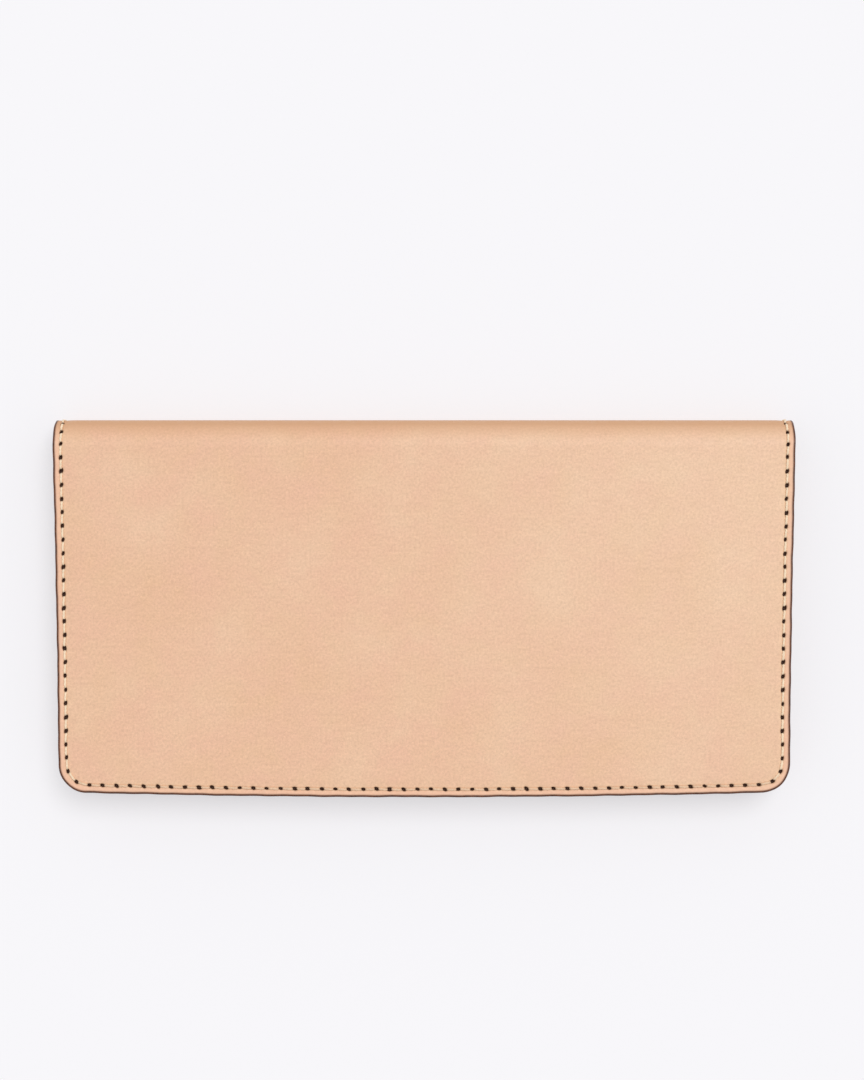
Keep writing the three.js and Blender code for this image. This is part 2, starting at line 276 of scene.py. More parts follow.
def face_outward(mesh):
    """Turns a closed mesh's faces outwards."""
    bm = bmesh.new()
    bm.from_mesh(mesh)
    bmesh.ops.recalc_face_normals(bm, faces=bm.faces)
    if bm.calc_volume(signed=True) < 0:
        bmesh.ops.reverse_faces(bm, faces=bm.faces)
    bm.to_mesh(mesh)
    bm.free()


def swept_faces(rings, sides, closed=False):
    """The faces of a shell swept through rings of vertices. Its ends are capped, or joined if closed."""
    faces = []
    for i in range(rings if closed else rings - 1):
        n = (i + 1) % rings
        for j in range(sides):
            k = (j + 1) % sides
            faces.append((i * sides + j, i * sides + k, n * sides + k, n * sides + j))
    if not closed:
        faces.append(tuple(reversed(range(sides))))
        faces.append(tuple(range((rings - 1) * sides, rings * sides)))
    return faces


def add_object(name, mesh, material):
    face_outward(mesh)
    piece = bpy.data.objects.new(name, mesh)
    bpy.context.scene.collection.objects.link(piece)
    mesh.materials.append(material)
    mesh.shade_smooth()
    return piece


def ragged(along):
    """The small unevenness of an edge cut and burnished by hand, in millimetres."""
    return 0.05 * np.sin(along / 2.9 + 1) * np.cos(along / 7.3) + 0.03 * np.sin(along / 1.1)


def window_distance(x, s, window):
    """How far each point is outside a window with rounded corners; below 0 inside it."""
    half_x, low, high, radius = window
    away_x = np.abs(x) - (half_x - radius)
    away_s = np.abs(s - (low + high) / 2) - ((high - low) / 2 - radius)
    outside = np.hypot(np.maximum(away_x, 0), np.maximum(away_s, 0))
    return outside + np.minimum(np.maximum(away_x, away_s), 0) - radius


def window_lines(window):
    """Grid lines in x and s at a window's edges, its corners and the creases round it."""
    half_x, low, high, radius = window
    offsets = radius * np.array([-1, -0.68, -0.4, -0.17, 0, 0.2, 0.45, 0.7, 0.95])
    x = np.concatenate([sign * (half_x + offsets) for sign in (-1, 1)])
    return x, np.concatenate([low - offsets, high + offsets])


def cut_window(bm, window):
    """Removes a window's inside from both faces of a sheet and closes it with a rounded wall."""
    half_x, low, high, radius = window
    doomed = []
    for face in bm.faces:
        x, s, _ = face.calc_center_median()
        if abs(x) < half_x and low < s < high:
            doomed.append(face)
    bmesh.ops.delete(bm, geom=doomed, context="FACES")
    rim = [e for e in bm.edges if e.is_boundary]
    middle = (low + high) / 2
    for vert in {v for e in rim for v in e.verts}:
        corner_x = math.copysign(half_x - radius, vert.co.x)
        corner_s = middle + math.copysign((high - low) / 2 - radius, vert.co.y - middle)
        beyond_x = (vert.co.x - corner_x) * math.copysign(1, vert.co.x)
        beyond_s = (vert.co.y - corner_s) * math.copysign(1, vert.co.y - middle)
        if beyond_x > 0 and beyond_s > 0:
            share = radius / math.hypot(beyond_x, beyond_s)
            vert.co.x = corner_x + (vert.co.x - corner_x) * share
            vert.co.y = corner_s + (vert.co.y - corner_s) * share
    bmesh.ops.bridge_loops(bm, edges=rim)
    bmesh.ops.recalc_face_normals(bm, faces=bm.faces)
    bmesh.ops.bevel(
        bm,
        geom=rim,
        offset=0.2,
        offset_type="OFFSET",
        segments=3,
        profile=0.5,
        affect="EDGES",
        clamp_overlap=True,
    )


def leather_sheet(
    name,
    side,
    outline,
    top,
    outer,
    inner,
    material,
    stitched="outer",
    step=COARSE_STEP,
    band=BAND_WIDTH,
    mouth=False,
    lift=None,
    window=None,
    lines=((), ()),
    seed=0.0,
):
    """A closed sheet of leather with burnished edges and holes on its stitched face. With mouth, its
    top edge is creased. lines are extra grid lines in x and s."""
    crease = (1.45, 1.6, 1.75, 1.9, 2.05)
    rounding = 0.3
    flat_grid, bent_grid, window_gap = 5.0, 0.35, 0.8
    extra = (0.06, 0.15, 0.3) + crease if mouth else (0.35, 0.7)
    line, normal = evenly(outline, step, extra)
    along = lengths_along(line)
    from_end = np.minimum(along, along[-1] - along)
    line = line + normal * (ragged(along + seed) * np.clip(from_end / 3, 0, 1))[:, None]
    fine = [i for i in FINE_INSETS if i <= band]
    coarse = [i for i in COARSE_INSETS if i <= band]
    outer_insets, inner_insets = (fine, coarse) if stitched == "outer" else (coarse, fine)
    section = rounded_section(outer, inner, outer_insets, inner_insets)
    n, m = len(line), len(section)
    flat = np.concatenate([np.column_stack([line + normal * i, np.full(n, d)]) for i, d in section])

    index = np.arange(n * m).reshape(m, n)
    quads = np.stack([index[:-1, :-1], index[:-1, 1:], index[1:, 1:], index[1:, :-1]], -1).reshape(-1, 4)
    mesh = bpy.data.meshes.new(name)
    mesh.from_pydata(flat.tolist(), [], quads.tolist())
    set_attribute(mesh, "inset", np.concatenate([np.full(n, i) for i, _ in section]))
    bm = bmesh.new()
    bm.from_mesh(mesh)
    bm.verts.ensure_lookup_table()
    low, high = flat.min(0), flat.max(0)
    grid_x = [*np.arange(low[0] + 4, high[0] - 3, flat_grid), *lines[0]]
    grid_y = [*np.arange(low[1] + 4, min(top, SPINE_Y) - 2.5, flat_grid), *lines[1]]
    if top > SPINE_Y:
        grid_y += list(np.arange(SPINE_Y - 0.4, top - 0.1, bent_grid))
    if mouth:
        grid_y += [top - e for e in extra]
    if window:
        window_x, window_s = window_lines(window)
        grid_x = [g for g in grid_x if min(abs(window_x - g)) > window_gap] + list(window_x)
        grid_y = [g for g in grid_y if min(abs(window_s - g)) > window_gap] + list(window_s)
    rings = [[bm.verts[i] for i in index[0]], [bm.verts[i] for i in index[-1]]]
    for ring in rings:
        faces = cut_interior(bm, {bm.faces.new(ring)}, 1, grid_y)
        cut_interior(bm, faces, 0, grid_x)
    open_edges = [e for e in bm.edges if e.is_boundary]
    bmesh.ops.contextual_create(bm, geom=open_edges)
    for e in open_edges:
        e.smooth = mouth
    if window:
        cut_window(bm, window)
    bm.to_mesh(mesh)
    bm.free()

    count = len(mesh.vertices)
    flat = np.empty(count * 3, np.float32)
    mesh.vertices.foreach_get("co", flat)
    flat = flat.reshape(-1, 3).astype(float)
    inset = np.empty(count, np.float32)
    mesh.attributes["inset"].data.foreach_get("value", inset)
    from_top = top - flat[:, 1]
    on_outer = flat[:, 2] < outer + 0.01
    on_inner = flat[:, 2] > inner - 0.01
    face, into = (on_outer, 1) if stitched == "outer" else (on_inner, -1)
    inside, near, sewn = hole_shape(flat[:, :2])
    across = inset - SEAM_INSET
    valley = 0.10 * np.exp(-((across / 1.5) ** 2)) + 0.07 * np.exp(-((across / 0.42) ** 4))
    pit_depth = min(PIT_DEPTH, inner - outer - LEATHER_BELOW_PIT)
    flat[:, 2] += np.where(face, into * (pit_depth * inside + 0.07 * near + valley * sewn), 0)
    edge = 1 - np.clip((inset - 0.5) / 0.2, 0, 1)
    if mouth:
        near_top = np.clip(rounding - from_top, 0, rounding)
        bend = rounding - np.sqrt(np.maximum(rounding**2 - near_top**2, 0))
        groove = 0.09 * np.exp(-(((from_top - 1.75) / 0.16) ** 2))
        flat[:, 2] += np.where(on_outer, bend, 0) - np.where(on_inner, bend + groove, 0)
        edge = np.maximum(edge, 1 - np.clip((from_top - 0.12) / 0.25, 0, 1))
    if window:
        outside = window_distance(flat[:, 0], flat[:, 1], window)
        flat[:, 2] -= np.where(on_inner, 0.08 * np.exp(-(((outside - 0.9) / 0.3) ** 2)), 0)
        edge = np.maximum(edge, 1 - np.clip((outside - 0.1) / 0.15, 0, 1))
    depth = flat[:, 2].copy()
    flat[:, 2] += waviness(side, flat[:, 0], flat[:, 1])
    if lift:
        flat[:, 2] += lift(flat[:, 0], flat[:, 1])
    mesh.vertices.foreach_set("co", (to_space(side, flat) * MM).astype(np.float32).ravel())
    sign = 1 if side == "front" else -1
    pattern = np.stack([flat[:, 0], sign * (SHEET_END - flat[:, 1]), depth * 2 + seed], 1)
    set_attribute(mesh, "flat", pattern)
    set_attribute(mesh, "edge", edge)
    # pit: painted shade, marking the floors of the stitch holes for a dark colour
    set_attribute(mesh, "pit", np.where(face, inside, 0))
    set_attribute(mesh, "seam", np.where(face, sewn * np.exp(-((across / 0.9) ** 2)), 0))
    set_attribute(mesh, "rim", np.where(face, sewn * np.clip((SEAM_INSET - inset) / 0.8, 0, 1), 0))
    # bend: painted shade, darker the further the outer face turns round the spine's fold, away from the
    # light
    set_attribute(mesh, "bend", np.where(on_outer, np.clip((flat[:, 1] - SPINE_Y - 1) / 6, 0, 1) ** 1.5, 0))
    mesh.update()
    return add_object(name, mesh, material)


def thread_tube(centres, up, radius, sides=10, twist=3.2, flatten=0.8):
    """Vertices and faces of a two-ply thread along centres; up is each point's outward direction."""
    tangent = np.gradient(centres, axis=0)
    tangent /= np.linalg.norm(tangent, axis=1)[:, None]
    sideways = np.cross(tangent, up)
    sideways /= np.linalg.norm(sideways, axis=1)[:, None]
    upward = np.cross(sideways, tangent)
    along = lengths_along(centres)
    turn = np.linspace(0, 2 * math.pi, sides, endpoint=False)
    verts = []
    for i, centre in enumerate(centres):
        ply = 1 + 0.16 * np.cos(2 * (turn - twist * along[i]))
        ring = np.outer(np.cos(turn) * ply, sideways[i]) + np.outer(np.sin(turn) * ply * flatten, upward[i])
        verts.append(centre + ring * radius)
    return np.concatenate(verts), swept_faces(len(centres), sides)


def lay_on(side, route, depth):
    """The points of a route at the given depths, on the half's uneven leather."""
    return to_space(side, np.column_stack([route, depth + waviness(side, route[:, 0], route[:, 1])]))


def taut(places, heights):
    """The heights of a thread pulled tight over the given ones."""
    keep = []
    for i, place in enumerate(places):
        while len(keep) > 1:
            a, b = keep[-2:]
            rise = (heights[b] - heights[a]) * (place - places[a])
            if rise > (heights[i] - heights[a]) * (places[b] - places[a]):
                break
            keep.pop()
        keep.append(i)
    return np.interp(places, places[keep], heights[keep])


def stitches(name, side, centres, across, level, outward, radius=THREAD_RADIUS):
    """The thread's visible lengths, each diving at the rims of its two holes. level gives the surface's
    depth, and outward is 1 on the outer face."""
    verts, faces, lights, shades, total = [], [], [], [], 0
    # The thread's end: how far from the hole's middle, and how far above the leather
    dive = np.array([0.5, 0.57, 0.64, 0.76, 0.9, 1.15])
    drop = np.array([-0.85, -0.62, -0.38, -0.12, 0.02, 0.06])
    lean = 0.1 * outward
    for k in range(len(centres) - 1):
        start = centres[k] + across[k] * lean
        end = centres[k + 1] - across[k + 1] * lean
        length = np.linalg.norm(end - start)
        near = dive * min(1, length / 3, radius / THREAD_RADIUS)
        middle = np.linspace(near[-1], length - near[-1], 7)[1:-1]
        places = np.concatenate([near, middle, length - near[::-1]])
        height = np.concatenate([drop, np.full(len(middle), drop[-1]), drop[::-1]])
        route = start + (end - start) * (places / length)[:, None]
        surface = -outward * level(route[:, 0], route[:, 1])
        depth = -outward * taut(places, surface + height)
        line = lay_on(side, route, depth)
        above = lay_on(side, route, depth - outward)
        points, quads = thread_tube(line, above - line, radius * RANDOM.normal(1, 0.05))
        verts.append(points)
        faces += [tuple(i + total for i in q) for q in quads]
        total += len(points)
        steep = abs(end[1] - start[1]) / length
        sides = len(points) // len(places)
        # Painted light: stitches that run up and down are painted paler than level ones, standing in for
        # how the light falls on them
        lights.append(np.full(len(points), 0.35 + 0.65 * steep))
        # Painted shade: the thread's ends that dive below the surface into the holes are painted dark
        shades.append(np.repeat(np.clip((-0.1 - height) / 0.25, 0, 1), sides))
    mesh = bpy.data.meshes.new(name)
    mesh.from_pydata((np.concatenate(verts) * MM).tolist(), [], faces)
    set_attribute(mesh, "painted_thread_light", np.concatenate(lights))
    set_attribute(mesh, "painted_hole_shade", np.concatenate(shades))
    mesh.update()
    piece = add_object(name, mesh, THREAD)
    return piece


def holes_on(points, pitch):
    """Hole centres a pitch apart on a line, with the directions across it."""
    along = lengths_along(points)
    count = max(2, round(along[-1] / pitch))
    return evenly(points, along[-1] / count)


# Materials


class Surface:
    """A material's node tree with short helpers."""

    def __init__(self, name):
        self.material = bpy.data.materials.new(name)
        self.material.use_nodes = True
        self.tree = self.material.node_tree
        self.shader = self.tree.nodes["Principled BSDF"]

    def link(self, value, socket):
        if isinstance(value, bpy.types.NodeSocket):
            self.tree.links.new(value, socket)
        elif value is not None:
            socket.default_value = value

    def attribute(self, name, vector=False):
        node = self.tree.nodes.new("ShaderNodeAttribute")
        node.attribute_name = name
        return node.outputs["Vector" if vector else "Fac"]

    def object_place(self):
        return self.tree.nodes.new("ShaderNodeTexCoord").outputs["Object"]

    def scaled(self, vector, size):
        node = self.tree.nodes.new("ShaderNodeVectorMath")
        node.operation = "MULTIPLY"
        self.link(vector, node.inputs[0])
        node.inputs[1].default_value = size
        return node.outputs[0]

    def distance(self, vector, centre):
        node = self.tree.nodes.new("ShaderNodeVectorMath")
        node.operation = "DISTANCE"
        self.link(vector, node.inputs[0])
        node.inputs[1].default_value = centre
        return node.outputs["Value"]

    def noise(self, vector, scale, detail=2.0, roughness=0.5):
        node = self.tree.nodes.new("ShaderNodeTexNoise")
        self.link(vector, node.inputs["Vector"])
        node.inputs["Scale"].default_value = scale
        node.inputs["Detail"].default_value = detail
        node.inputs["Roughness"].default_value = roughness
        return node.outputs["Fac"]

    def cells(self, vector, scale):
        node = self.tree.nodes.new("ShaderNodeTexVoronoi")
        self.link(vector, node.inputs["Vector"])
        node.inputs["Scale"].default_value = scale
        return node.outputs["Distance"]

    def wave(self, vector, scale, direction="X", distortion=0.0):
        node = self.tree.nodes.new("ShaderNodeTexWave")
        node.bands_direction = direction
        self.link(vector, node.inputs["Vector"])
        node.inputs["Scale"].default_value = scale
        node.inputs["Distortion"].default_value = distortion
        return node.outputs["Fac"]

    def mapped(self, value, low, high, new_low, new_high):
        node = self.tree.nodes.new("ShaderNodeMapRange")
        self.link(value, node.inputs["Value"])
        ends = {"From Min": low, "From Max": high, "To Min": new_low, "To Max": new_high}
        for name, number in ends.items():
            node.inputs[name].default_value = number
        return node.outputs["Result"]

    def maths(self, operation, a, b):
        node = self.tree.nodes.new("ShaderNodeMath")
        node.operation = operation
        self.link(a, node.inputs[0])
        self.link(b, node.inputs[1])
        return node.outputs[0]

    def mix(self, share, a, b, blend="MIX"):
        node = self.tree.nodes.new("ShaderNodeMix")
        node.data_type = "RGBA"
        node.blend_type = blend
        sockets = [s for s in node.inputs if s.type == "RGBA"]
        self.link(share, node.inputs["Factor"])
        self.link(a, sockets[0])
        self.link(b, sockets[1])
        return next(s for s in node.outputs if s.type == "RGBA")

    def bump(self, height, strength, distance):
        node = self.tree.nodes.new("ShaderNodeBump")
        node.inputs["Strength"].default_value = strength
        node.inputs["Distance"].default_value = distance
        self.link(height, node.inputs["Height"])
        return node.outputs["Normal"]

    def finish(self, colour, roughness, normal, **constants):
        self.link(colour, self.shader.inputs["Base Color"])
        self.link(roughness, self.shader.inputs["Roughness"])
        self.link(normal, self.shader.inputs["Normal"])
        for name, number in constants.items():
            self.shader.inputs[name.replace("_", " ")].default_value = number
        return self.material


def srgb(red, green, blue):
    """An sRGB colour, from 0 to 255, as the linear colour that a shader takes."""
    share = np.array([red, green, blue]) / 255
    linear = np.where(share <= 0.04045, share / 12.92, ((share + 0.055) / 1.055) ** 2.4)
    return (*linear.tolist(), 1.0)


def leather(name, light, deep, ruddy, roughness=0.5):
    """Vegetable-tanned leather: mottled, fine-grained, with dark burnished edges, stitch holes darkened
    with painted shade, painted shade along the spine's fold and a painted sheen near the fold's right end.
    """
    s = Surface(name)
    place = s.attribute("flat", vector=True)
    patches = s.mapped(s.noise(place, 0.035, 3.0, 0.55), 0.35, 0.68, 0, 1)
    colour = s.mix(patches, light, deep)
    blush = s.mapped(s.noise(place, 0.075, 5.0, 0.62), 0.4, 0.66, 0, 0.85)
    colour = s.mix(blush, colour, ruddy)
    # Painted sheen: the leather is painted paler round one place near the fold's right end, standing in for
    # the lamp's soft reflection there
    pale = s.mapped(s.distance(place, PAINTED_SHEEN_PLACE), 5, 110, 0.34, 0)
    colour = s.mix(pale, colour, srgb(245, 215, 184))
    streaks = s.noise(s.scaled(place, (0.45, 1.1, 1)), 0.5, 3.0, 0.6)
    colour = s.mix(0.45, colour, s.mapped(streaks, 0.3, 0.7, 0.95, 1.05), "MULTIPLY")
    grain = s.noise(place, 1.5, 4.0, 0.8)
    colour = s.mix(0.9, colour, s.mapped(grain, 0.25, 0.75, 0.8, 1.2), "MULTIPLY")
    seam = s.attribute("seam")
    colour = s.mix(s.maths("MULTIPLY", seam, 0.35), colour, srgb(241, 210, 172))
    colour = s.mix(s.maths("MULTIPLY", s.attribute("rim"), 0.45), colour, srgb(243, 190, 162))
    # Painted shade along the spine's fold, where the surface turns away from the light
    colour = s.mix(s.maths("MULTIPLY", s.attribute("bend"), 0.85), colour, srgb(208, 158, 116))
    burnish = s.mapped(s.noise(place, 0.8, 3.0, 0.6), 0.3, 0.7, 0, 1)
    brown = s.mix(burnish, srgb(70, 38, 24), srgb(112, 66, 42))
    edge = s.attribute("edge")
    colour = s.mix(edge, colour, brown)
    # Painted shade: the stitch holes are painted dark brown, standing in for the shade inside them
    pit = s.attribute("pit")
    colour = s.mix(s.mapped(pit, 0.15, 0.55, 0, 1), colour, srgb(64, 34, 18))
    pores = s.cells(place, 3.4)
    height = s.maths("ADD", s.maths("MULTIPLY", grain, 0.7), s.maths("MULTIPLY", pores, 0.3))
    shine = s.mapped(s.noise(place, 0.5, 3.0, 0.5), 0.3, 0.7, roughness - 0.05, roughness + 0.09)
    shine = s.maths("SUBTRACT", shine, s.maths("MULTIPLY", edge, 0.12))
    normal = s.bump(height, 0.3, 0.00008)
    return s.finish(colour, shine, normal, Specular_IOR_Level=0.35)


def waxed_thread():
    s = Surface("cream_thread")
    place = s.object_place()
    fibres = s.noise(place, 2600, 3.0, 0.75)
    painted_thread_light = s.attribute("painted_thread_light")
    # Painted light: the thread is paler where its stitch runs up and down and darker where it runs level,
    # by how the light falls
    colour = s.mix(painted_thread_light, srgb(222, 178, 144), srgb(250, 225, 194))
    colour = s.mix(0.9, colour, s.mapped(fibres, 0.3, 0.7, 0.78, 1.14), "MULTIPLY")
    # Painted shade: where the thread sinks into a hole it is painted dark brown
    colour = s.mix(s.attribute("painted_hole_shade"), colour, srgb(64, 34, 18))
    normal = s.bump(fibres, 0.5, 0.00005)
    return s.finish(colour, s.mapped(fibres, 0.3, 0.7, 0.55, 0.75), normal, Specular_IOR_Level=0.3)


def brass():
    s = Surface("zip_brass")
    place = s.object_place()
    tarnish = s.mapped(s.noise(place, 420, 4.0, 0.6), 0.35, 0.75, 0, 1)
    colour = s.mix(tarnish, srgb(232, 197, 118), srgb(188, 146, 78))
    scratches = s.noise(s.scaled(place, (1, 9, 3)), 2600, 2.0, 0.6)
    roughness = s.maths("ADD", s.mapped(tarnish, 0, 1, 0.2, 0.36), s.mapped(scratches, 0.4, 0.7, 0, 0.07))
    return s.finish(colour, roughness, s.bump(scratches, 0.12, 0.00003), Metallic=1.0)


def zip_tape():
    s = Surface("zip_tape")
    place = s.object_place()
    rows = s.wave(place, 900, "X")
    columns = s.wave(place, 700, "Y")
    weave = s.maths("MULTIPLY", rows, columns)
    fuzz = s.noise(place, 1500, 3.0, 0.6)
    colour = s.mix(weave, srgb(148, 104, 68), srgb(196, 150, 106))
    colour = s.mix(0.6, colour, s.mapped(fuzz, 0.3, 0.7, 0.85, 1.1), "MULTIPLY")
    return s.finish(colour, s.mapped(fuzz, 0.3, 0.7, 0.8, 0.95), s.bump(weave, 0.6, 0.0001))


LEATHER = leather("natural_leather", srgb(235, 195, 163), srgb(231, 187, 152), srgb(234, 187, 158), 0.5)
LINING = leather("lining_leather", srgb(228, 188, 156), srgb(222, 178, 144), srgb(224, 176, 148), 0.62)
POCKET = leather("pocket_leather", srgb(233, 193, 162), srgb(228, 184, 150), srgb(231, 182, 154), 0.55)
THREAD = waxed_thread()
BRASS = brass()
TAPE = zip_tape()


# Outer leather, linings and the seam


def bend_with(piece, side):
    """Bakes the piece's transform into its mesh; front and back are treated alike."""
    if side == "front":
        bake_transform(piece)
    else:
        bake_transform(piece)


def outer_skins():
    for side in ("back", "front"):
        step = FINE_STEP if side == "front" else COARSE_STEP
        skin = leather_sheet(
            side + "_leather", side, wallet_outline(SHEET_END), SHEET_END, 0.0, COVER, LEATHER, step=step
        )
        bend_with(skin, side)
        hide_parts(side + "_cover", "spine_cover")
        thread = stitches(side + "_stitches", side, HOLES["centre"], HOLES["across"], lambda x, s: 0 * x, 1)
        bend_with(thread, side)
        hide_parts(side + "_seam_thread", "spine_thread_left", "spine_thread_right")


def linings():
    outer, inner = LINING_LOW[2] - 0.08, LINING_HIGH[2]
    for side in ("back", "front"):
        skin = leather_sheet(
            side + "_lining_leather",
            side,
            wallet_outline(SHEET_END),
            SHEET_END,
            outer,
            inner,
            LINING,
            stitched="inner",
            seed=40.0,
        )
        bend_with(skin, side)
        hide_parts(side + "_lining", "spine_lining")


outer_skins()
linings()


# Pockets


def depth_range(node, side):
    low, high = box_mm(node)
    if side == "front":
        return THICKNESS - high[2], THICKNESS - low[2]
    return low[2], high[2]


def pocket(node, side, outline, **options):
    outer, inner = depth_range(node, side)
    top = box_mm(node)[1][1]
    name = node + "_leather"
    piece = leather_sheet(
        name, side, outline, top, outer, inner, POCKET, stitched="inner", mouth=True, **options
    )
    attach(piece, side + "_half")
    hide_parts(node)


def whole_outline(node):
    return wallet_outline(box_mm(node)[1][1])


def front_pockets():
    pocket("slip_pocket", "front", whole_outline("slip_pocket"), seed=60.0)
    pocket("card_pocket_front", "front", whole_outline("card_pocket_front"), seed=90.0)
    for row, seed in (("top", 120.0), ("middle", 150.0)):
        for name, sign in (("left", -1), ("right", 1)):
            node = f"card_pocket_{row}_{name}"
            low, high = box_mm(node)
            pocket(node, "front", card_outline(sign, low[1], high[1]), seed=seed + 7 * sign, band=2.65)


# Coin pocket

COIN_TOP = box_mm("coin_pocket_front")[1][1]
COIN_DEPTHS = depth_range("coin_pocket_front", "back")
COIN_DROP = COIN_DEPTHS[0] - box_mm("coin_pocket_back")[1][2] - 0.2
WINDOW_HALF_LENGTH = 74
WINDOW_HALF_WIDTH = 4.2
ZIP_Y = (box_mm("zip_tape_lower")[0][1] + box_mm("zip_tape_upper")[1][1]) / 2
ZIP_Z = (box_mm("zip_tape_lower")[0][2] + box_mm("zip_tape_lower")[1][2]) / 2
WINDOW = (WINDOW_HALF_LENGTH, ZIP_Y - WINDOW_HALF_WIDTH, ZIP_Y + WINDOW_HALF_WIDTH, 2.0)


def smooth(share):
    share = np.clip(share, 0, 1)
    return share * share * (3 - 2 * share)


def coin_pillow(x, s):
    """How far the coin pocket's front wall sinks towards its sewn edges, in millimetres."""
    full = smooth((half_width(s) - np.abs(x) - 2.5) / 9)
    full *= smooth((s - OPEN_Y - 2.5) / 13)
    full *= smooth((COIN_TOP - s - 1.8) / 3.6)
    return -COIN_DROP * (1 - full)


def coin_surface(x, s):
    return COIN_DEPTHS[1] + coin_pillow(x, s)


def coin_pocket():
    pocket("coin_pocket_back", "back", whole_outline("coin_pocket_back"), seed=200.0)
    sides = np.arange(2.0, 16, 1.3)
    x = np.concatenate([sides - HALF_WIDTH + 4, HALF_WIDTH - 4 - sides])
    foot = np.arange(OPEN_Y + 4, OPEN_Y + 20, 1.4)
    top = COIN_TOP - np.arange(1.2, 6.2, 0.55)
    pocket(
        "coin_pocket_front",
        "back",
        whole_outline("coin_pocket_front"),
        lift=coin_pillow,
        window=WINDOW,
        lines=(x, np.concatenate([foot, top])),
        seed=230.0,
    )


def window_seam():
    """The stitches that hold the zip's tapes, in a rounded line round the window."""
    away, radius = 1.9, 3.9
    half_x = WINDOW_HALF_LENGTH + away - radius
    half_s = WINDOW_HALF_WIDTH + away - radius
    corners = [
        arc(sx * half_x, ZIP_Y + ss * half_s, radius, turn, turn + math.pi / 2, 20)
        for sx, ss, turn in ((1, 1, 0), (-1, 1, math.pi / 2), (-1, -1, math.pi), (1, -1, 1.5 * math.pi))
    ]
    line = np.concatenate(corners + [corners[0][:1]])
    return holes_on(line, 3.0)


def coin_seams():
    centres, across = window_seam()
    thread = stitches("zip_seam_stitches", "back", centres, across, coin_surface, -1, radius=0.22)
    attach(thread, "back_half")
    y = COIN_TOP - 2.6
    reach = float(half_width(y)) - 4.5
    centres, across = holes_on(np.array([[-reach, y], [0, y], [reach, y]]), 3.5)
    thread = stitches("coin_pocket_top_stitches", "back", centres, across, coin_surface, -1, radius=0.22)
    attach(thread, "back_half")


# Inner stitches


def stepped(levels):
    """The depth of stacked sheets' top surface: levels are (mouth, depth) pairs, the lowest mouth first."""

    def level(x, s):
        depth = np.full(np.shape(s), LINING_HIGH[2])
        for mouth, height in reversed(levels):
            depth = np.where(s < mouth + 0.5, height, depth)
        return depth

    return level


def inner_stitches():
    rows = ("card_pocket_front", "card_pocket_middle_left", "card_pocket_top_left", "slip_pocket")
    front = stepped([(box_mm(node)[1][1], depth_range(node, "front")[1]) for node in rows])
    back = stepped([(COIN_TOP, COIN_DEPTHS[1] - COIN_DROP)])
    for side, level in (("front", front), ("back", back)):
        name = side + "_inner_stitches"
        thread = stitches(name, side, HOLES["centre"], HOLES["across"], level, -1)
        bend_with(thread, side)
    low, high = box_mm("centre_thread")
    line = np.array([[0, low[1]], [0, (low[1] + high[1]) / 2], [0, high[1] - 0.4]])
    centres, across = holes_on(line, 3.5)
    thread = stitches("centre_stitches", "front", centres, across, front, -1)
    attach(thread, "front_half")
    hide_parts("centre_thread")


front_pockets()
coin_pocket()
coin_seams()
inner_stitches()


# Zip


def ribbon(name, path, across, widths, thickness, material, corner=None, closed=False, edges=None):
    """A strip with rounded corners, swept along path. across is its width's direction, and widths may vary
    along the path. edges is how far in from each side it is burnished."""
    count = len(path)
    if closed:
        tangent = np.roll(path, -1, axis=0) - np.roll(path, 1, axis=0)
    else:
        tangent = np.gradient(path, axis=0)
    tangent /= np.linalg.norm(tangent, axis=1)[:, None]
    across = np.broadcast_to(np.array(across, float), path.shape)
    upward = np.cross(tangent, across)
    upward /= np.linalg.norm(upward, axis=1)[:, None]
    widths = np.broadcast_to(np.array(widths, float), count)
    corner = corner or 0.45 * thickness
    quarter = np.radians([0, 30, 60, 90])
    section = []
    for sa, su, turn in ((1, 1, 0), (-1, 1, 90), (-1, -1, 180), (1, -1, 270)):
        turned = [
            (sa, su * (thickness / 2 - corner) + corner * math.sin(a), corner * math.cos(a), 1.0)
            for a in quarter + math.radians(turn)
        ]
        if edges:
            face_up = su * thickness / 2
            brown_end = sa * (corner - edges)
            flat = [(sa, face_up, brown_end, 1.0), (sa, face_up, brown_end - sa * 0.12, 0.0)]
            turned = turned + flat if sa == su else flat[::-1] + turned
        section += turned
    sides = len(section)
    verts, burnt = [], []
    for i in range(count):
        for sa, up, out, brown in section:
            wide = sa * max(widths[i] / 2 - corner, 0.01) + out
            verts.append(path[i] + across[i] * wide + upward[i] * up)
            burnt.append(brown if edges else 0.0)
    verts = np.array(verts)
    mesh = bpy.data.meshes.new(name)
    mesh.from_pydata((verts * MM).tolist(), [], swept_faces(count, sides, closed))
    set_attribute(mesh, "flat", verts)
    set_attribute(mesh, "edge", np.array(burnt))
    return add_object(name, mesh, material)


def join(name, pieces):
    """One piece from several."""
    bm = bmesh.new()
    for piece in pieces:
        bm.from_mesh(piece.data)
    mesh = bpy.data.meshes.new(name)
    bm.to_mesh(mesh)
    bm.free()
    material = pieces[0].data.materials[0]
    for piece in pieces:
        bpy.data.objects.remove(piece)
    return add_object(name, mesh, material)


def bevelled(piece, width, segments=3):
    modifier = piece.modifiers.new("bevel", "BEVEL")
    modifier.width = width * MM
    modifier.segments = segments
    modifier.limit_method = "ANGLE"
    modifier.angle_limit = math.radians(40)
    piece.data.shade_smooth()


TEETH_LOW, TEETH_HIGH = box_mm("zip_teeth_upper")
TEETH_OUTER = TEETH_HIGH[1] - ZIP_Y
TEETH_HEIGHT = TEETH_HIGH[2] - TEETH_LOW[2]
TOOTH_PITCH = 2
TOOTH_HEAD = 0.45  # how far a tooth reaches past the zip's middle line
# Half a tooth's outline, (out from the middle line, half width), from its rounded head to its foot
TOOTH_OUTLINE = [
    (-TOOTH_HEAD, 0.22),
    (-TOOTH_HEAD + 0.18, 0.4),
    (0.25, 0.46),
    (0.6, 0.38),
    (1.1, 0.36),
    (1.5, 0.55),
    (2.35, 0.55),
]


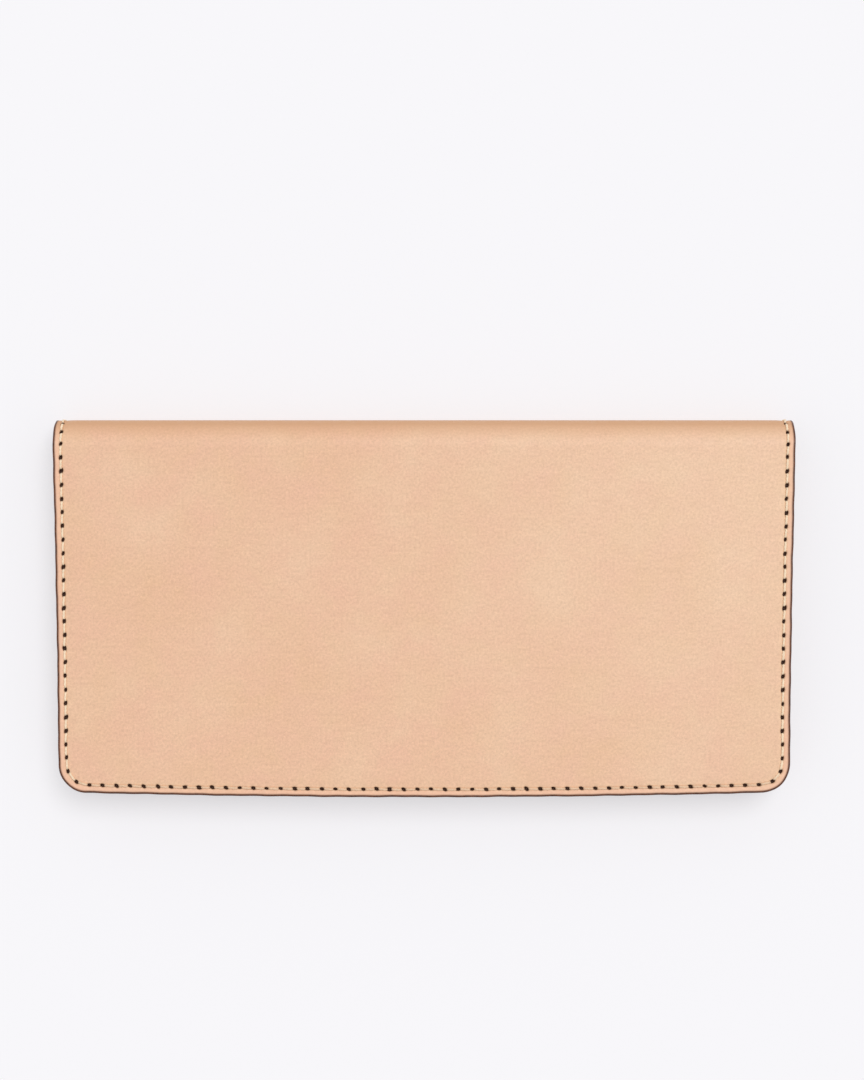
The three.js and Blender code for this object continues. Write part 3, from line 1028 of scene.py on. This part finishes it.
def zip_tapes():
    """Each woven tape with the round bead at its inner edge that the teeth grip."""
    for name, side in (("lower", -1), ("upper", 1)):
        low, high = box_mm("zip_tape_" + name)
        x = np.linspace(low[0], high[0], 120)
        middle = (low[1] + high[1]) / 2
        path = points_at(x, middle, ZIP_Z)
        strip = ribbon("strip", path, (0, 1, 0), high[1] - low[1], high[2] - low[2], TAPE)
        bead_y = ZIP_Y + side * (TEETH_OUTER + 0.35)
        bead = ribbon("bead", points_at(x, bead_y, ZIP_Z), (0, 1, 0), 0.9, 0.9, TAPE, corner=0.44)
        tape = join("zip_tape_" + name + "_weave", [strip, bead])
        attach(tape, "back_half")
        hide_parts("zip_tape_" + name)


def mesh_piece(name, shells, material):
    """One piece from closed shells, each a pair of vertices in millimetres and faces."""
    verts, faces = [], []
    for points, polygons in shells:
        faces += [tuple(i + len(verts) for i in polygon) for polygon in polygons]
        verts += [tuple(p) for p in points]
    mesh = bpy.data.meshes.new(name)
    mesh.from_pydata((np.array(verts) * MM).tolist(), [], faces)
    return add_object(name, mesh, material)


def tooth(x, side):
    """One tooth's shell, smaller at its underside and its top."""
    ring = [(x + w, out) for out, w in TOOTH_OUTLINE] + [(x - w, out) for out, w in reversed(TOOTH_OUTLINE)]
    inner = [(x + (px - x) * 0.72, out * 0.9 + 0.08) for px, out in ring]
    half = TEETH_HEIGHT / 2
    layers = [(inner, -half), (ring, -half + 0.2), (ring, half - 0.2), (inner, half)]
    verts = [(px, ZIP_Y + side * out, ZIP_Z + z) for points, z in layers for px, out in points]
    return verts, swept_faces(len(layers), len(ring))


def zip_teeth():
    """Two rows of cast teeth that mesh along the middle line."""
    for name, side in (("lower", -1), ("upper", 1)):
        shift = 0 if side > 0 else TOOTH_PITCH / 2
        places = np.arange(TEETH_LOW[0] + 0.6 + shift, TEETH_HIGH[0] - 0.4, TOOTH_PITCH)
        row = mesh_piece("zip_teeth_" + name + "_cast", [tooth(x, side) for x in places], BRASS)
        bevelled(row, 0.07, 2)
        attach(row, "back_half")
        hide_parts("zip_teeth_" + name)


def zip_stops():
    """Clips crimped round the tapes' beads, rounded over the top and pinched at their ends."""
    for node in ("zip_top_stop_lower", "zip_top_stop_upper", "zip_bottom_stop"):
        low, high = box_mm(node)
        middle = (low + high) / 2
        size = high - low
        share = np.linspace(-1, 1, 13)
        path = points_at(middle[0] + share * size[0] / 2, middle[1], middle[2])
        widths = size[1] * (1 - 0.3 * np.abs(share) ** 4)
        clip = ribbon(node + "_clip", path, (0, 1, 0), widths, size[2], BRASS, corner=0.42 * min(size[1:]))
        bevelled(clip, 0.16, 3)
        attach(clip, "back_half")
        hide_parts(node)


SLIDER_LOW, SLIDER_HIGH = box_mm("zip_slider")
SLIDER_X = (SLIDER_LOW[0] + SLIDER_HIGH[0]) / 2
CHANNEL_HALF_WIDTH = 2.35
CHANNEL_HEIGHT = 1.9
TAPE_SLOT = 0.8
SLIDER_HALF_HEIGHT = ZIP_Z - SLIDER_LOW[2]


def slider_half(up):
    """The slider's upper or lower plate with its two flanges: wide shoulders in front and a narrow tail."""
    half_length = (SLIDER_HIGH[0] - SLIDER_LOW[0]) / 2
    half_wide = (SLIDER_HIGH[1] - SLIDER_LOW[1]) / 2
    t = np.linspace(-1, 1, 21)
    wide = half_wide * (0.9 + 0.1 * smooth((t + 0.4) / 0.9))
    wide -= 0.9 * np.clip((np.abs(t) - 0.72) / 0.28, 0, 1) ** 2.2
    crest = SLIDER_HALF_HEIGHT - 0.35 * np.clip((np.abs(t) - 0.55) / 0.45, 0, 1) ** 2
    channel = CHANNEL_HALF_WIDTH - 0.5 * np.clip((-t - 0.6) / 0.4, 0, 1)
    roof, slot = CHANNEL_HEIGHT / 2, TAPE_SLOT / 2
    verts = []
    for share, w, c, reach in zip(t, wide, crest, channel):
        inner = min(reach, w - 0.45)
        section = [(-w, slot), (-w, c - 0.55), (-w + 0.22, c - 0.16), (-w + 0.7, c), (0, c)]
        section += [(w - 0.7, c), (w - 0.22, c - 0.16), (w, c - 0.55), (w, slot)]
        section += [(inner, slot), (inner, roof), (-inner, roof), (-inner, slot)]
        x = SLIDER_X + share * half_length
        verts += [(x, ZIP_Y + y, ZIP_Z + up * z) for y, z in section]
    return verts, swept_faces(len(t), len(section))


def zip_slider():
    """The plates, the post between them and the crown that holds the pull's link."""
    plates = mesh_piece("plates", [slider_half(1), slider_half(-1)], BRASS)
    post_x = SLIDER_HIGH[0] - 1.8
    z = np.linspace(-SLIDER_HALF_HEIGHT + 0.25, SLIDER_HALF_HEIGHT - 0.25, 5)
    post = ribbon("post", points_at(post_x, ZIP_Y, ZIP_Z + z), (1, 0, 0), 2.2, 0.5, BRASS)
    crown_width, crown_thickness = 1.2, 0.54
    top = SLIDER_HIGH[2] - 0.28
    foot = ZIP_Z + SLIDER_HALF_HEIGHT - 0.2
    turn = np.radians(np.linspace(0, 90, 7))
    reach, radius = 2.3, 0.75
    bend_x = SLIDER_X - reach + radius - radius * np.cos(turn)
    bend_z = top - radius + radius * np.sin(turn)
    left = np.concatenate([[[SLIDER_X - reach, ZIP_Y, foot]], points_at(bend_x, ZIP_Y, bend_z)])
    right = left[::-1] * [-1, 1, 1] + [2 * SLIDER_X, 0, 0]
    arch = np.concatenate([left, right])
    crown = ribbon("crown", arch, (0, 1, 0), crown_width, crown_thickness, BRASS)
    piece = join("zip_slider_cast", [plates, post, crown])
    bevelled(piece, 0.12, 2)
    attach(piece, "zip_slider")
    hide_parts("zip_slider")


def zip_pull():
    """The link, a rounded rectangle of brass wire, and its tab."""
    low, high = box_mm("zip_pull_link")
    bar, corner = 0.8, 1.3
    inset = bar / 2
    path = []
    middle = (low[2] + high[2]) / 2
    for sx, sy, turn in ((1, 1, 0), (-1, 1, 90), (-1, -1, 180), (1, -1, 270)):
        centre_x = high[0] - inset - corner if sx > 0 else low[0] + inset + corner
        centre_y = high[1] - inset - corner if sy > 0 else low[1] + inset + corner
        start = math.radians(turn)
        for x, y in arc(centre_x, centre_y, corner, start, start + math.pi / 2, 8):
            path.append((x, y, middle))
    path = np.array(path)
    tangent = np.roll(path, -1, axis=0) - np.roll(path, 1, axis=0)
    sideways = np.stack([-tangent[:, 1], tangent[:, 0], 0 * tangent[:, 0]], 1)
    sideways /= np.linalg.norm(sideways, axis=1)[:, None]
    height = high[2] - low[2]
    link = ribbon("zip_pull_link_wire", path, sideways, bar, height, BRASS, corner=0.29, closed=True)
    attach(link, "zip_pull")
    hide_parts("zip_pull_link")
    pull_tab(low[0] + inset, middle)


def pull_tab(bar_x, bar_z):
    """A strip folded over the link's far bar, glued to itself and stitched."""
    low, high = box_mm("zip_pull_tab")
    ply, gap = 0.46, 0.48
    loop_radius = 0.66
    end_radius = 1.2
    neck_width = 3.0
    turn = np.radians(np.linspace(-78, 78, 19))
    loop_x = bar_x + loop_radius * np.cos(turn)
    loop_z = bar_z + loop_radius * np.sin(turn)
    end_x = low[0] + end_radius * (1 - np.cos(np.radians(np.arange(0, 91, 15))))
    x = np.concatenate([end_x, np.linspace(low[0] + 1.6, bar_x - 0.6, 26)])
    closeness = smooth((bar_x - 0.1 - x) / 2.2)
    half_gap = gap / 2 * closeness + (loop_radius - 0.02) * (1 - closeness)
    under = np.column_stack([x, bar_z - half_gap])
    over = np.column_stack([x, bar_z + half_gap])
    path = np.concatenate([under, np.column_stack([loop_x, loop_z]), over[::-1]])
    path = points_at(path[:, 0], ZIP_Y, path[:, 1])
    wide = high[1] - low[1]
    from_end = (low[0] + end_radius - path[:, 0]).clip(0) / end_radius
    end = np.sqrt(np.clip(1 - from_end**2, 0, 1))
    neck = smooth((bar_x - 1.6 - path[:, 0]) / 1.6)
    widths = neck_width + (wide - neck_width) * neck - 2.4 * (1 - end)
    tab = ribbon("zip_pull_tab_leather", path, (0, 1, 0), widths, ply, POCKET, corner=0.2, edges=0.25)
    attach(tab, "zip_pull")
    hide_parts("zip_pull_tab")
    surface = bar_z + gap / 2 + ply / 2
    inset = 1.1
    y = wide / 2 - inset
    corners = [(bar_x - 4.6, y), (low[0] + inset, y), (low[0] + inset, -y), (bar_x - 4.6, -y)]
    line = np.array([(px, ZIP_Y + py) for px, py in corners])
    centres = []
    for a, b in zip(line[:-1], line[1:]):
        parts = max(1, round(np.linalg.norm(b - a) / 2.6))
        centres += [a + (b - a) * i / parts for i in range(parts)]
    centres = np.array(centres + [line[-1]])

    def flat_top(x, s):
        return np.full(np.shape(x), surface)

    across = np.zeros_like(centres)
    thread = stitches("zip_pull_stitches", "back", centres, across, flat_top, -1, radius=0.18)
    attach(thread, "zip_pull")


zip_tapes()
zip_teeth()
zip_stops()
zip_slider()
zip_pull()


# Light, floor and camera

FLOOR_GLOW = 0.58
FLOOR_DIFFUSE = 0.43


def stage():
    """A wide lamp, a soft sky and a pale floor. The floor glows a little, so its shadows stay light."""
    size = 12.0
    mesh = bpy.data.meshes.new("floor")
    drop = 0.00004
    corners = [(-size, -size), (size, -size), (size, size), (-size, size)]
    mesh.from_pydata([(x, y, -drop) for x, y in corners], [], [(0, 1, 2, 3)])
    s = Surface("floor")
    glow = srgb(247, 246, 249)
    s.shader.inputs["Emission Color"].default_value = glow
    s.shader.inputs["Emission Strength"].default_value = FLOOR_GLOW
    s.finish(tuple(c * FLOOR_DIFFUSE for c in glow[:3]) + (1,), 0.9, None, Specular_IOR_Level=0.1)
    floor = bpy.data.objects.new("floor", mesh)
    mesh.materials.append(s.material)
    bpy.context.scene.collection.objects.link(floor)

    world = bpy.data.worlds.new("studio")
    world.use_nodes = True
    sky = world.node_tree.nodes["Background"]
    sky.inputs["Color"].default_value = (1, 1, 1, 1)
    sky.inputs["Strength"].default_value = 0.6
    bpy.context.scene.world = world

    sun = bpy.data.lights.new("softbox", "SUN")
    sun.energy = 1.35
    sun.angle = math.radians(30)
    lamp = bpy.data.objects.new("softbox", sun)
    lamp.rotation_euler = (math.radians(-19), math.radians(14), 0)
    bpy.context.scene.collection.objects.link(lamp)


def camera():
    """Straight down, with the wallet a little below the picture's middle."""
    height = 0.6
    data = bpy.data.cameras.new("camera")
    data.lens = 78.3
    data.clip_start, data.clip_end = 0.01, 10
    cam = bpy.data.objects.new("camera", data)
    cam.location = (0.002, 0.0174, height + THICKNESS * MM)
    bpy.context.scene.collection.objects.link(cam)
    bpy.context.scene.camera = cam
    bpy.context.scene.view_settings.view_transform = "Standard"
    bpy.context.scene.view_settings.look = "None"


stage()
camera()
